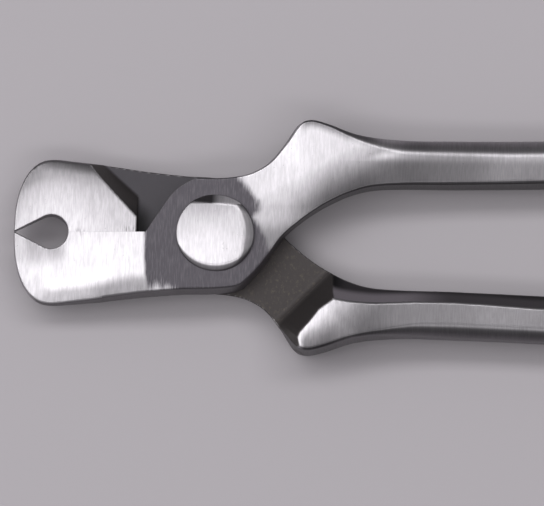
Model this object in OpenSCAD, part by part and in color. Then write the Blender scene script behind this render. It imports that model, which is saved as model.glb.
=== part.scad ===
// Farrier's nail puller: two equal forged levers, half lapped on one rivet.
// X runs from the jaws to the handles, Z is the pivot axis, and the tool lies on its lower rivet head.
// The levers are one form: the back lever is the front one turned half a turn about the X direction.

/* [Lengths] */
// Pivot axis to the jaw tips
jaw_reach = 50.4; // [47:0.5:56]
// Pivot axis to the handle ends
handle_reach = 254.6; // [200:1:320]

/* [Jaws] */
// Half width of the closed jaws at their widest
jaw_half_w = 18.4; // [17:0.2:21]
// Thickness of the jaws at the tip
jaw_tip_t = 2.8; // [2:0.2:5]
// Diameter of the nail pocket between the jaws
pocket_d = 8.5; // [5:0.5:10]
// Jaw tip to the pocket's centre
pocket_setback = 9.4; // [7:0.2:12]
// Boss of one lever to the wall where the other lever's jaw rises
jaw_wall_gap = 2.2; // [1.2:0.1:4]
// Tool's middle plane to the foot of the jaw's slope, at that wall
jaw_slope_y = 9.7; // [7.5:0.1:12]
// Steepness of that slope, from the lap face
jaw_slope_angle = 55; // [48:1:70]

/* [Joint] */
// Full thickness of the joint, twice one lap
joint_t = 14; // [11:0.5:18]
// Radius of the round boss at the joint
boss_r = 14.6; // [13:0.2:16]
// Boss to the foot of the slope that rises to the handle
handle_slope_gap = 11.9; // [10:0.1:14]
// Steepness of that slope, from the lap face
handle_slope_angle = 48; // [44:1:65]

/* [Rivet] */
// Diameter of the rivet's shank
shank_d = 12; // [8:0.5:14]
// Radial clearance of the shank in its bores
bore_clear = 0.05; // [0.02:0.01:0.1]
// Diameter of both rivet heads
head_d = 19.5; // [16:0.5:24]
// Height of a rivet head above the lap
head_h = 2; // [1.2:0.1:3]
// Diameter of the flat ground on each head
head_flat_d = 15; // [10:0.5:15.5]
// Height of the upright rim below the dome
head_rim_h = 0.6; // [0.3:0.1:0.9]

/* [Handles] */
// Width of a handle
handle_w = 12; // [9:0.2:13]
// Thickness of a handle at its end
handle_t = 10.6; // [8:0.2:12]
// Handle centre line to the tool's middle plane, near the joint
handle_y = 18.9; // [17:0.2:22]
// Handle centre line to the tool's middle plane, at the ends
handle_end_y = 27; // [20:0.5:40]
// Pivot axis to the peak of the shoulder, along the tool
shoulder_x = 23; // [21:0.2:26]
// Tool's middle plane to the peak of the shoulder
shoulder_y = 29.6; // [27:0.2:32]

/* [Forging] */
// Lean of the forged sides, from the lap plane to each face
draft = 0.8; // [0.3:0.1:1.2]
// Radius of the edges round the jaws and the joint
edge_r = 0.6; // [0.3:0.1:1]
// Radius of the edges along the handles
handle_edge_r = 3.8; // [2:0.2:4]

/* [Hidden] */
$fn = 96;

steel = [0.62, 0.60, 0.61];
rivet_steel = [0.80, 0.79, 0.80];

half_t = joint_t / 2;
lap_z = half_t + head_h;
tip_half_t = jaw_tip_t / 2;
handle_half_t = handle_t / 2;
pocket_x = jaw_reach - pocket_setback;

// Past every face of a lever, for cuts that pass right through
past = 60;
// Rings between two stations, and points on the arc of one edge
ring_steps = 3;
arc_steps = 3;
// The boss runs into the jaw face along its tangent, this far round from the X axis.
boss_tangent = 33;
// Pivot axis to where the tangent meets the jaw face, and to the wall of the other jaw
jaw_root_x = boss_r / cos(boss_tangent);
jaw_wall_x = jaw_root_x + jaw_wall_gap;
// The jaw sides start this far past the tool's middle plane and are cut back to it
jaw_spare = 3;
// Direction in which each slope rises, from the X axis
handle_slope_turn = 44.4;
jaw_slope_turn = 131.3;
// Pivot axis to the foot line of each slope
handle_slope_x = boss_r + handle_slope_gap;
jaw_slope_x = -jaw_wall_x * cos(jaw_slope_turn) - jaw_slope_y * sin(jaw_slope_turn);
// How far the handle's face has dropped from the joint's face where its blend ends
root_drop = 0.9;
// Handle stations between the joint's blend and the rounded end
handle_start_x = 60;
handle_spans = 7;
end_round = handle_w / 2;
end_rings = 5;

// A station holds its lower and upper edge points, the half thickness, both edge radii and the draft.
function station(lower, upper, half, lower_r, upper_r, lean) =
    [lower[0], lower[1], upper[0], upper[1], half, lower_r, upper_r, lean];

// Half thickness of the jaw at a distance from the pivot
function jaw_half(x) =
    tip_half_t + (half_t - tip_half_t) * min(1, (jaw_reach - x) / (jaw_reach - jaw_root_x));

// Smooth step from 0 to 1
function ease(u) = let (v = min(1, max(0, u))) v * v * (3 - 2 * v);

// A jaw station: distance from the pivot and share of the jaw's half width
function jaw_station(x, share) =
    let (half = jaw_half(x), radius = min(edge_r, half * 0.4))
    station([-x, -jaw_half_w * share], [-x, jaw_spare], half, radius, radius, draft * half / half_t);

// The round front corner of the jaw is a quarter of a slightly squared ellipse.
corner_x = 9.8;
corner_power = 0.88;
function jaw_corner(angle) =
    jaw_station(jaw_reach - corner_x * (1 - pow(cos(angle), corner_power)), pow(sin(angle), corner_power));

// Side of the jaw: share of the way from the boss to the round corner, and share of the half width
jaw_side = [[1, 1], [0.78, 0.978], [0.46, 0.938], [0.03, 0.868]];
function side_x(share) = jaw_root_x + (jaw_reach - corner_x - jaw_root_x) * share;

// A station of the joint, at its full thickness
function joint_station(lower, upper) = station(lower, upper, half_t, edge_r, edge_r, draft);

root_y = handle_y - handle_w / 2;
crest_y = handle_y + handle_w / 2;

joint_stations = [
    joint_station([-8, -boss_r - 0.4], [-14, boss_r + 1]),
    joint_station([1, -boss_r], [-6, boss_r + 0.1]),
    joint_station([6.4, -boss_r + 1], [0, boss_r]),
    joint_station([9.8, -boss_r + 4], [5, boss_r + 0.5]),
    joint_station([13.2, -boss_r + 8.4], [9, boss_r + 1.6]),
    joint_station([16.9, -boss_r + 14], [13, boss_r + 4.1]),
    joint_station([21.3, root_y - 9.4], [shoulder_x - 6.2, shoulder_y - 6.3]),
    joint_station([25.6, root_y - 6.3], [shoulder_x - 2.6, shoulder_y - 1.1])
];

// The handle's blend out of its root
blend_stations = [
    station([29, root_y - 4.3], [shoulder_x + 0.4, shoulder_y], half_t, edge_r * 2, edge_r * 2, draft),
    station([33, root_y - 2.4], [shoulder_x + 4.4, shoulder_y - 0.8],
            half_t, handle_edge_r * 0.6, handle_edge_r * 0.5, draft),
    station([38.5, root_y - 0.8], [35.5, crest_y + 1.2],
            half_t - root_drop * 0.1, handle_edge_r * 0.8, handle_edge_r * 0.8, draft),
    station([46, root_y - 0.2], [46, crest_y],
            half_t - root_drop * 0.45, handle_edge_r, handle_edge_r, draft * 0.8)
];

// Handle centre line, half width and half thickness, from the blend to the end
function handle_share(x) = (x - handle_start_x) / (handle_reach - handle_start_x);
function handle_line(x) =
    let (share = handle_share(x))
    handle_y + (handle_end_y - handle_y) * (0.45 * share + 0.55 * ease(share));
function handle_half(x) =
    let (start = half_t - root_drop)
    start + (handle_half_t - start) * ease(handle_share(x) * 2);
function handle_station(x, width_share, half_share) =
    let (
        y = handle_line(x),
        half_w = handle_w / 2 * width_share,
        radius = handle_edge_r * min(width_share, half_share)
    )
    station([x, y - half_w], [x, y + half_w], handle_half(x) * half_share,
            radius, radius, draft * 0.5 * width_share);

handle_step = (handle_reach - end_round - handle_start_x) / handle_spans;
handle_stations = [
    for (i = [0 : handle_spans]) handle_station(handle_start_x + i * handle_step, 1, 1)
];
end_stations = [
    for (i = [1 : end_rings])
        let (angle = 84 * i / end_rings)
        handle_station(handle_reach - end_round * (1 - sin(angle)), cos(angle), 0.35 + 0.65 * cos(angle))
];

stations = concat(
    [for (angle = [0 : 15 : 75]) jaw_corner(angle)],
    [for (s = jaw_side) jaw_station(side_x(s[0]), s[1])],
    joint_stations, blend_stations, handle_stations
);

// Running distance along the stations, measured on their middles
function middle(s) = [(s[0] + s[2]) / 2, (s[1] + s[3]) / 2];
function running(list, i) = i == 0 ? 0 : running(list, i - 1) + norm(middle(list[i]) - middle(list[i - 1]));

// A curve that passes through each station, with the slope of its two neighbours
function slope(list, at, i) =
    let (a = max(0, i - 1), b = min(len(list) - 1, i + 1))
    (list[b] - list[a]) / (at[b] - at[a]);
function between(list, at, i, u) =
    let (w = at[i + 1] - at[i], u2 = u * u, u3 = u2 * u)
    (2 * u3 - 3 * u2 + 1) * list[i] + (u3 - 2 * u2 + u) * w * slope(list, at, i)
    + (3 * u2 - 2 * u3) * list[i + 1] + (u3 - u2) * w * slope(list, at, i + 1);
function smooth(list) =
    let (at = [for (i = [0 : len(list) - 1]) running(list, i)])
    [for (i = [0 : len(list) - 2], k = [0 : ring_steps - 1]) between(list, at, i, k / ring_steps)];

curve = concat(smooth(stations), [stations[len(stations) - 1]], end_stations);

// Direction of an edge at a station; column is 0 for the lower edge and 2 for the upper one
function along(i, column) =
    let (
        a = curve[max(0, i - 1)],
        b = curve[min(len(curve) - 1, i + 1)],
        d = [b[column] - a[column], b[column + 1] - a[column + 1]]
    )
    d / norm(d);

// One point of a ring: inset from its edge, square to the edge, and height
function ring_point(i, column, inset, height) =
    let (
        s = curve[i],
        d = along(i, column),
        inward = column == 0 ? [-d[1], d[0]] : [d[1], -d[0]],
        p = [s[column], s[column + 1]] + inward * inset
    )
    [p[0], p[1], height];

// The quarter of a ring from the lap plane to a face, without its first point
function ring_quarter(i, column, side) =
    let (half = min(half_t, curve[i][4]), radius = curve[i][column == 0 ? 5 : 6], lean = curve[i][7])
    [for (k = [0 : arc_steps])
        let (angle = 90 * k / arc_steps)
        ring_point(i, column, lean + radius * (1 - cos(angle)), side * (half - radius * (1 - sin(angle))))];

function backward(list) = [for (i = [len(list) - 1 : -1 : 0]) list[i]];

function ring(i) = concat(
    [ring_point(i, 0, 0, 0)], ring_quarter(i, 0, 1), backward(ring_quarter(i, 2, 1)),
    [ring_point(i, 2, 0, 0)], ring_quarter(i, 2, -1), backward(ring_quarter(i, 0, -1))
);

ring_size = 4 * (arc_steps + 1) + 2;

// The forged blank of one lever, before its lap, bore and jaw face are cut
module blank() {
    points = [for (i = [0 : len(curve) - 1]) each ring(i)];
    last = (len(curve) - 1) * ring_size;
    sides = [
        for (i = [0 : len(curve) - 2], j = [0 : ring_size - 1])
            let (
                a = i * ring_size + j,
                b = i * ring_size + (j + 1) % ring_size,
                c = a + ring_size,
                d = b + ring_size
            )
            each [[a, b, d], [a, d, c]]
    ];
    front_cap = [for (j = [1 : ring_size - 2]) [0, j + 1, j]];
    end_cap = [for (j = [1 : ring_size - 2]) [last, last + j, last + j + 1]];
    polyhedron(points = points, faces = concat(sides, front_cap, end_cap), convexity = 6);
}

// Plan of what the other lever's side takes away: the flat jaw face and the round of the boss
module jaw_face_plan() {
    polygon(concat(
        [[-jaw_reach - 5, 0], [-jaw_root_x, 0]],
        [for (a = [180 - boss_tangent : -3 : 90]) boss_r * [cos(a), sin(a)]],
        [[0, past], [-jaw_reach - 5, past]]
    ));
}

// All that lies past a slope: its foot line is on the lap plane, and it leans outwards as it goes down.
module past_slope(turn, foot, angle) {
    rotate([0, 0, turn])
        translate([foot, 0, 0])
            rotate([0, angle - 90, 0])
                translate([0, -handle_reach, -past])
                    cube([2 * handle_reach, 2 * handle_reach, 2 * past]);
}

// What is cut away below the lap plane: the space of the other lever's lap
module lap_space() {
    difference() {
        translate([-jaw_wall_x - past, -past, -past])
            cube([3 * past, 2 * past, past]);
        past_slope(handle_slope_turn, handle_slope_x, handle_slope_angle);
        difference() {
            past_slope(jaw_slope_turn, jaw_slope_x, jaw_slope_angle);
            translate([-jaw_wall_x, -past, -past])
                cube([past, 2 * past, 2 * past]);
        }
    }
}

// Nail pocket: a round hole that narrows to the jaw tips
module pocket() {
    r = pocket_d / 2;
    reach = pocket_setback - 0.1;
    lean = asin(r / reach);
    translate([-pocket_x, 0, -past / 2])
        union() {
            cylinder(r = r, h = past);
            linear_extrude(height = past)
                polygon([[-reach, 0], [-r * sin(lean), r * cos(lean)], [-r * sin(lean), -r * cos(lean)]]);
        }
}

// One lever about the pivot axis, with the lap plane at zero height
module lever() {
    difference() {
        blank();
        translate([0, 0, -past / 2])
            linear_extrude(height = past) jaw_face_plan();
        lap_space();
        pocket();
        translate([0, 0, -past / 2])
            cylinder(d = shank_d + 2 * bore_clear, h = past);
    }
}

module front_lever() {
    color(steel)
        translate([0, 0, lap_z]) lever();
}

module back_lever() {
    color(steel * 0.85)
        translate([0, 0, lap_z]) rotate([180, 0, 0]) lever();
}

// A rivet head: an upright rim, a round dome and a flat ground on top
module rivet_head() {
    rim_r = head_d / 2;
    flat_r = head_flat_d / 2;
    centre = (rim_r * rim_r - flat_r * flat_r + head_rim_h * head_rim_h - head_h * head_h)
        / (2 * (head_rim_h - head_h));
    dome_r = sqrt(rim_r * rim_r + (head_rim_h - centre) * (head_rim_h - centre));
    intersection() {
        cylinder(r = rim_r, h = head_h);
        translate([0, 0, centre]) sphere(r = dome_r);
    }
}

module pivot_rivet() {
    color(rivet_steel)
        translate([0, 0, lap_z])
            union() {
                translate([0, 0, -half_t]) cylinder(d = shank_d, h = joint_t);
                translate([0, 0, half_t]) rivet_head();
                translate([0, 0, -half_t]) mirror([0, 0, 1]) rivet_head();
            }
}

front_lever();
back_lever();
pivot_rivet();
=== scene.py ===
import math

import bpy
import numpy as np
from mathutils import Matrix, Vector


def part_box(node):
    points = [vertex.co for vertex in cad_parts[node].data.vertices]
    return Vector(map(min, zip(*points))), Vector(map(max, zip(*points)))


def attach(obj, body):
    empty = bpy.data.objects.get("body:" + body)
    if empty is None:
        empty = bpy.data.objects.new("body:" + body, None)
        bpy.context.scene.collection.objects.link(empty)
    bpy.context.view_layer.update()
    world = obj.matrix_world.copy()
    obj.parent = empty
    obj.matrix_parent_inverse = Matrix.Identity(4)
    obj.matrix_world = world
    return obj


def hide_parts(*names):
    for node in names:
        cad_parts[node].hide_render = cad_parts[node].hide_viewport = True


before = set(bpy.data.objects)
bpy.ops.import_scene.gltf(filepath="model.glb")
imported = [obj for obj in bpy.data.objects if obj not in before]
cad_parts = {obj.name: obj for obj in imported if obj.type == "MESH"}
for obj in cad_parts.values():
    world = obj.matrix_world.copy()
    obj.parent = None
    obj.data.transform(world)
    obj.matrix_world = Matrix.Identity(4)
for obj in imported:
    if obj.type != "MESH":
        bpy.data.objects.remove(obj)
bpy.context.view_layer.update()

# Sizes in millimetres, about the pivot axis at x = y = 0 and the lap plane at z = 0. The jaws point to -x.
# Both levers are one forging: the front lever as modelled, the back lever turned half a turn about x.
MM = 0.001
rivet_low, rivet_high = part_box("pivot_rivet")
lever_low, lever_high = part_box("front_lever")
END_ROOM = 0.02
LAP_Z = (rivet_low[2] + rivet_high[2]) / 2 / MM
JAW_REACH = -lever_low[0] / MM
HANDLE_REACH = lever_high[0] / MM - END_ROOM
JAW_HALF_W = -lever_low[1] / MM
HEAD_R = rivet_high[0] / MM
HEAD_H = 2.0
HALF_T = LAP_Z - HEAD_H
JAW_TIP_HALF = 1.4
BOSS_R = 14.6
BOSS_TANGENT = math.radians(33)
JAW_ROOT = BOSS_R / math.cos(BOSS_TANGENT)
JAW_WALL = JAW_ROOT + 2.2
JAW_SLOPE_Y = 9.7
HANDLE_SLOPE = BOSS_R + 11.9
HANDLE_SLOPE_TURN = math.radians(44.4)
JAW_SLOPE_TURN = math.radians(131.3)
JAW_SLOPE_ANGLE = math.radians(56.2)
HANDLE_SLOPE_ANGLE = math.radians(51.3)
POCKET_R = 4.25
POCKET_X = JAW_REACH - 9.4
POCKET_REACH = 9.3
SHANK_R = 6.0
BORE_R = SHANK_R + 0.05
HANDLE_HALF_W = 6.0
HANDLE_Y = 18.9
HANDLE_END_Y = 27.0
HANDLE_START = 60.0
SHOULDER = (23.0, 29.6)
ROOT_Y = HANDLE_Y - HANDLE_HALF_W
CREST_Y = HANDLE_Y + HANDLE_HALF_W


def ease(u):
    """Smooth step from 0 to 1."""
    v = np.clip(u, 0.0, 1.0)
    return v * v * (3 - 2 * v)


def rise(x, start, length):
    """Smooth step from 0 at the start to 1 past the length."""
    return ease((x - start) / length)


def drop(x, start, length):
    """Smooth step from 1 at the start to 0 past the length."""
    return 1 - rise(x, start, length)


def ramp(u, soft=0.18):
    """A straight rise from 0 to 1 with soft ends."""
    v = np.clip(u, 0.0, 1.0)
    low = v * v / (2 * soft)
    high = 1 - soft - (1 - v) * (1 - v) / (2 * soft)
    middle = v - soft / 2
    value = np.where(v < soft, low, np.where(v > 1 - soft, high, middle))
    return value / (1 - soft)


def table(x, rows):
    """The value at x in a table of places and values."""
    return np.interp(x, rows[0], rows[1])


def hill(*axes):
    """A bump of height 1, from each axis's places, centre and width."""
    return np.exp(-sum(((at - centre) / width) ** 2 for at, centre, width in axes))


# Plan outline of the forging, as pairs of points on its lower and upper edges.
JAW_CORNER = 9.8
CORNER_POWER = 0.88
CORNER_DEGREES = (0, 15, 30, 45, 60, 75)
JAW_UPPER_Y = 3.0
JAW_WIDTHS = ((1, 1), (0.78, 0.978), (0.46, 0.938), (0.03, 0.868))
BOW_STRAIGHT, BOW_EASED = 0.45, 0.55
HANDLE_STATIONS = 8
CURVE_STEPS = 14
END_DEGREES, END_POINTS = 86, 40


def jaw_station(x, share):
    return (-x, -JAW_HALF_W * share, -x, JAW_UPPER_Y)


def jaw_corner(degrees):
    turn = math.radians(degrees)
    x = JAW_REACH - JAW_CORNER * (1 - math.cos(turn) ** CORNER_POWER)
    return jaw_station(x, math.sin(turn) ** CORNER_POWER)


def jaw_side(share, width):
    return jaw_station(JAW_ROOT + (JAW_REACH - JAW_CORNER - JAW_ROOT) * share, width)


def joint_stations():
    """Round the boss and over the handle's root: x and y of the lower edge, x and y of the upper edge."""
    sx, sy = SHOULDER
    return [
        (-8, -BOSS_R - 0.4, -14, BOSS_R + 1),
        (1, -BOSS_R, -6, BOSS_R + 0.1),
        (6.4, -BOSS_R + 1, 0, BOSS_R),
        (9.8, -BOSS_R + 4, 5, BOSS_R + 0.5),
        (13.2, -BOSS_R + 8.4, 9, BOSS_R + 1.6),
        (16.9, -BOSS_R + 14, 13, BOSS_R + 4.1),
        (21.3, ROOT_Y - 9.4, sx - 6.2, sy - 6.3),
        (25.6, ROOT_Y - 6.3, sx - 2.6, sy - 1.1),
        (29, ROOT_Y - 4.3, sx + 0.4, sy),
        (33, ROOT_Y - 2.4, sx + 4.4, sy - 0.8),
        (38.5, ROOT_Y - 0.8, 35.5, CREST_Y + 1.2),
        (46, ROOT_Y - 0.2, 46, CREST_Y),
    ]


def handle_middle(x):
    """The y of the slightly bowed handle's middle line."""
    share = np.maximum(0, x - HANDLE_START) / (HANDLE_REACH - HANDLE_START)
    return HANDLE_Y + (HANDLE_END_Y - HANDLE_Y) * (BOW_STRAIGHT * share + BOW_EASED * ease(share))


def handle_station(x):
    y = handle_middle(x)
    return (x, y - HANDLE_HALF_W, x, y + HANDLE_HALF_W)


def stations():
    rows = [jaw_corner(degrees) for degrees in CORNER_DEGREES]
    rows += [jaw_side(share, width) for share, width in JAW_WIDTHS]
    rows += joint_stations()
    last = HANDLE_REACH - HANDLE_HALF_W
    return rows + [handle_station(x) for x in np.linspace(HANDLE_START, last, HANDLE_STATIONS)]


def through(rows, steps):
    """A smooth curve through rows of numbers, with the slope of each row's two neighbours."""
    rows = np.array(rows, float)
    middle = (rows[:, 0:2] + rows[:, 2:4]) / 2
    at = np.concatenate([[0], np.cumsum(np.linalg.norm(np.diff(middle, axis=0), axis=1))])
    slope = np.empty_like(rows)
    slope[1:-1] = (rows[2:] - rows[:-2]) / (at[2:] - at[:-2])[:, None]
    slope[0] = (rows[1] - rows[0]) / (at[1] - at[0])
    slope[-1] = (rows[-1] - rows[-2]) / (at[-1] - at[-2])
    out = []
    for i in range(len(rows) - 1):
        w = at[i + 1] - at[i]
        for k in range(steps):
            u = k / steps
            out.append(
                (2 * u**3 - 3 * u**2 + 1) * rows[i] + (u**3 - 2 * u**2 + u) * w * slope[i]
                + (3 * u**2 - 2 * u**3) * rows[i + 1] + (u**3 - u**2) * w * slope[i + 1]
            )
    out.append(rows[-1])
    return np.array(out)


def outline():
    """The closed outline, anticlockwise: lower edge, round end, upper edge backwards."""
    curve = through(stations(), CURVE_STEPS)
    turns = np.radians(np.linspace(-END_DEGREES, END_DEGREES, END_POINTS))
    x = HANDLE_REACH - HANDLE_HALF_W
    y = handle_middle(x)
    end = np.stack([x + HANDLE_HALF_W * np.cos(turns), y + HANDLE_HALF_W * np.sin(turns)], 1)
    return np.concatenate([curve[:, 0:2], end, curve[::-1, 2:4]])


class Plan:
    """Signed distance to the outline, its direction, and the nearest point on it."""

    reach = 9.0
    bin_width = 2.0
    batch = 20000
    shortest = 1e-6

    def __init__(self, points):
        self.a = points
        self.b = np.roll(points, -1, axis=0)
        d = self.b - self.a
        keep = np.linalg.norm(d, axis=1) > self.shortest
        self.a, self.b, d = self.a[keep], self.b[keep], d[keep]
        length = np.linalg.norm(d, axis=1)
        normal = np.stack([d[:, 1], -d[:, 0]], 1) / length[:, None]
        at_a = normal + np.roll(normal, 1, axis=0)
        self.na = at_a / np.linalg.norm(at_a, axis=1)[:, None]
        self.nb = np.roll(self.na, -1, axis=0)
        self.d, self.length2 = d, length**2

    def measure(self, x, y):
        """Distance (below 0 inside), its x and y slopes, and the nearest outline point, for flat arrays."""
        n = len(x)
        dist = np.full(n, -self.reach)
        slope = np.zeros((n, 2))
        near = np.zeros((n, 2))
        order = np.argsort(x, kind="stable")
        bins = np.floor(x[order] / self.bin_width).astype(int)
        starts = np.flatnonzero(np.r_[True, bins[1:] != bins[:-1]])
        ends = np.r_[starts[1:], n]
        low = np.minimum(self.a[:, 0], self.b[:, 0])
        high = np.maximum(self.a[:, 0], self.b[:, 0])
        for s, e in zip(starts, ends):
            mid = (bins[s] + 0.5) * self.bin_width
            pad = self.bin_width / 2 + self.reach
            use = np.flatnonzero((low < mid + pad) & (high > mid - pad))
            if not len(use):
                dist[order[s:e]] = self.reach
                continue
            for c in range(s, e, self.batch):
                ids = order[c:min(e, c + self.batch)]
                dist[ids], slope[ids], near[ids] = self.nearest(use, x[ids], y[ids])
        return dist, slope, near

    def nearest(self, use, x, y):
        """What measure() gives, from the outline's edges in use."""
        px, py = x[:, None], y[:, None]
        ax, ay = self.a[use, 0], self.a[use, 1]
        dx, dy = self.d[use, 0], self.d[use, 1]
        t = np.clip(((px - ax) * dx + (py - ay) * dy) / self.length2[use], 0, 1)
        qx, qy = px - ax - t * dx, py - ay - t * dy
        k = np.argmin(qx * qx + qy * qy, axis=1)
        row = np.arange(len(x))
        tk = t[row, k][:, None]
        gap = np.stack([qx[row, k], qy[row, k]], 1)
        normal = self.na[use][k] * (1 - tk) + self.nb[use][k] * tk
        normal /= np.linalg.norm(normal, axis=1)[:, None]
        side = np.sign((gap * normal).sum(1))
        side[side == 0] = 1
        return side * np.linalg.norm(gap, axis=1), normal, np.stack([x, y], 1) - gap


# The solid, as one field that is below 0 inside. Tables hold places and values, pairs the start and
# length of a smooth step.
ROOT_START = ([-6, 0, 5.6, 10.5, 14.1, 18], [13.6, 12.2, 10.2, 7.5, 6.0, 4.6])
ROOT_RISE, ROOT_RISE_LENGTH = 1.1, 18
ROOT_FALL_START, ROOT_FALL_LEAN, ROOT_FALL_Y = 24, 0.9, (4, 21)
NEAR_FALL, NEAR_FALL_LENGTH = 1.9, 34
FAR_FALL, FAR_FALL_STEP = 0.8, (90, 150)
LAP_RISE, LAP_RISE_START, LAP_RISE_LENGTH, LAP_RISE_POWER = 1.4, 4.5, 13, 2.4
LAP_DIP, LAP_DIP_STEP = 0.3, (8, 8)
LAP_FALL_START = 34
CROWN_REACH = ([-40, -22], [4.8, 5.8])
CROWN_STEP = (JAW_ROOT - 6, 8)
CROWN_ROLL, CROWN_ROLL_HALF = 0.88, 4.5
CROWN_BOW, CROWN_BOW_HALF = 0.6, 3
RADII = {
    "inner_outer_face": ([18, 30, 60, 250], [0.5, 0.6, 0.9, 1.6]),
    "outer_outer_face": ([17, 20, 23, 29, 34, 38, 46, 60], [0.4, 0.5, 0.6, 0.8, 1.4, 2.2, 3.7, 4.3]),
    "inner_lap_face": ([22, 28, 50, 64], [0.6, 0.8, 1.2, 2.0]),
    "outer_lap_face": ([16, 20, 26, 36, 42, 50, 60], [0.5, 0.9, 0.9, 0.9, 1.4, 2.8, 3.5]),
}
TIP_STEP = (JAW_REACH - 8, 4)
EDGE_SHARE, EDGE_SHARE_LOSS = 0.97, 0.8
FLANK_LEAN = ([-JAW_REACH, -JAW_ROOT, 40, 60], [0.15, 0.8, 0.8, 0.4])
INNER_LEAN = ([8, 20, 34, 60, 90], [0.8, 0.15, 0.15, 0.7, 1.1])
INNER_SLOPE = 0.62
BEVEL_RISE, BEVEL_EDGE = 1.15, 0.3
BEVEL_WIDTH = (
    [21, 26, 30, 33, 37, 43, 50, 60, 68, 80, 230, 248],
    [0, 4.4, 5.2, 4.7, 4.0, 3.4, 2.9, 2.9, 3.0, 3.4, 3.2, 0],
)
SLOPE_TURN = (
    [-9, -6.8, -5, -3, -1.2, 1, 2.4, 3.6, 4.8, 6.5],
    [0, 0.027, 0.044, 0.024, 0.008, 0, -0.01, -0.045, -0.15, -0.22],
)
LAP_FLOOR_EDGE, LAP_WALL_EDGE = 1.2, 0.5
FACE_EDGE, CUT_EDGE, BORE_EDGE = 0.02, 0.25, 0.1


def meet(a, b, r):
    """Intersection of two fields with an edge of radius r."""
    u, v = a + r, b + r
    return np.minimum(np.maximum(u, v), 0) + np.hypot(np.maximum(u, 0), np.maximum(v, 0)) - r


def jaw_half(x):
    """Half the thickness of the wedge jaw, up to the joint's."""
    steepness = (HALF_T - JAW_TIP_HALF) / (JAW_REACH - JAW_ROOT)
    return np.minimum(HALF_T, JAW_TIP_HALF + steepness * np.maximum(0, x + JAW_REACH))


def handle_fall(x, start):
    """How much thinner the handle is than the joint, on one side."""
    return NEAR_FALL * rise(x, start, NEAR_FALL_LENGTH) + FAR_FALL * rise(x, *FAR_FALL_STEP)


def outer_half(x, y):
    """Height of the boss side's face above the lap plane."""
    root = ROOT_RISE * ramp((x - table(y, ROOT_START)) / ROOT_RISE_LENGTH)
    low, reach = ROOT_FALL_Y
    return jaw_half(x) + root - handle_fall(x, ROOT_FALL_START + ROOT_FALL_LEAN * np.clip(y - low, 0, reach))


def past_foot(x, y):
    """How far a place lies past the foot of the slope at the handle."""
    return x * math.cos(HANDLE_SLOPE_TURN) + y * math.sin(HANDLE_SLOPE_TURN) - HANDLE_SLOPE


def lap_half(x, y):
    """Height of the lap side's face below the lap plane."""
    past = np.clip((past_foot(x, y) - LAP_RISE_START) / LAP_RISE_LENGTH, 0, 1)
    root = LAP_RISE * (1 - (1 - past) ** LAP_RISE_POWER) - LAP_DIP * rise(x, *LAP_DIP_STEP)
    return jaw_half(x) + root - handle_fall(x, LAP_FALL_START)


def long_side(dist, near_y, reach):
    """From 0 at some distance inside the tool's outer long side to 1 on it."""
    return np.where(near_y < 0, np.clip(1 + dist / reach, 0, 1), 0)


def jaw_crown(x, y, dist, slope_y, near_y):
    """How far the jaw's face rolls down towards its long side."""
    share = long_side(dist, near_y, table(x, CROWN_REACH))
    roll = CROWN_ROLL * np.minimum(1, jaw_half(x) / CROWN_ROLL_HALF) * share**2 * slope_y**2
    bow = CROWN_BOW * (y / JAW_HALF_W) ** 2 * np.minimum(1, jaw_half(x) / CROWN_BOW_HALF)
    return rise(-x, *CROWN_STEP) * (roll + bow)


def edge_radius(x, top, inner, half):
    """Radius of the long edges, small at the jaw's tip."""
    outer_face = np.where(inner, table(x, RADII["inner_outer_face"]), table(x, RADII["outer_outer_face"]))
    lap_face = np.where(inner, table(x, RADII["inner_lap_face"]), table(x, RADII["outer_lap_face"]))
    most = half * (EDGE_SHARE - EDGE_SHARE_LOSS * rise(-x, *TIP_STEP))
    return np.minimum(most, np.where(top, outer_face, lap_face))


def bevelled(body, side, over, width):
    """The body with the broad bevel along the inner edge of the lap side, where its width is above 0."""
    bevel = (side + over / BEVEL_RISE + width) / math.hypot(1, 1 / BEVEL_RISE)
    return np.where(width > 0, meet(body, bevel, BEVEL_EDGE), body)


def pocket_field(x, y):
    """Distance to the drop-shaped nail pocket, below 0 inside it."""
    px, py = x + POCKET_X, np.abs(y)
    lean = math.asin(POCKET_R / POCKET_REACH)
    wedge = (px + POCKET_REACH) * -math.sin(lean) + py * math.cos(lean)
    circle = np.hypot(px, py) - POCKET_R
    return np.where(px < -POCKET_R * math.sin(lean), np.minimum(wedge, circle), circle)


def along_slope(x, y):
    """Place along the slope at the handle."""
    return y * math.cos(HANDLE_SLOPE_TURN) - x * math.sin(HANDLE_SLOPE_TURN)


def past_slope(x, y, depth):
    """Distance past the slope at the handle, above 0 in the handle's metal."""
    angle = HANDLE_SLOPE_ANGLE + table(along_slope(x, y), SLOPE_TURN)
    return past_foot(x, y) * np.sin(angle) - depth * np.cos(angle)


def lap_field(x, y, z):
    """The space of the other lever's lap, below 0 inside it."""
    depth = np.maximum(0, -z)
    handle = past_slope(x, y, depth)
    foot = -JAW_WALL * math.cos(JAW_SLOPE_TURN) - JAW_SLOPE_Y * math.sin(JAW_SLOPE_TURN)
    past_jaw_foot = x * math.cos(JAW_SLOPE_TURN) + y * math.sin(JAW_SLOPE_TURN) - foot
    jaw = past_jaw_foot * math.sin(JAW_SLOPE_ANGLE) - depth * math.cos(JAW_SLOPE_ANGLE)
    wall = -x - JAW_WALL
    return meet(meet(z, handle, LAP_FLOOR_EDGE), np.minimum(jaw, wall), LAP_WALL_EDGE)


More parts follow.
